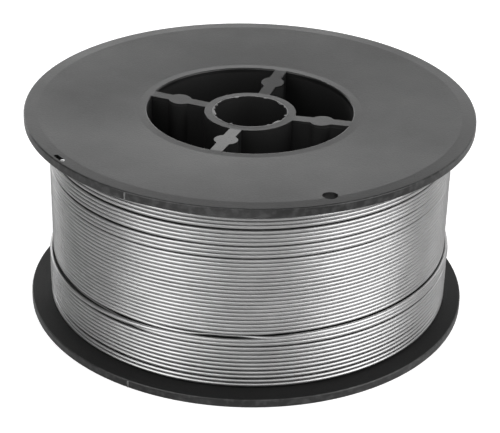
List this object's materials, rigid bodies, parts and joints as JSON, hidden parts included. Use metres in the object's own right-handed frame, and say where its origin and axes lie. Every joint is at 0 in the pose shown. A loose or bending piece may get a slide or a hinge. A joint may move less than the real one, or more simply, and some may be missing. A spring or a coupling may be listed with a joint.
{
  "type": "welding wire spool",
  "caption": "Small plastic spool with two flanges, a hollow ribbed hub and a centre bore, wound full with fine round steel welding wire.",
  "frame": {"origin": "on the axis, in the plane of the lower rim, which the spool lies on", "axes": "+Z along the bore, towards the flange with the anchoring hole and the slot; the hub's ribs lie on X and Y"},
  "size_m": [0.1, 0.1, 0.0468],
  "materials": {
    "spool_plastic": "moulded dark grey plastic, slightly satin",
    "wire_steel": "bright drawn steel, satin"
  },
  "bodies": {
    "root": {"spool": "spool_plastic", "wire_winding": "wire_steel"}
  },
  "joints": []
}
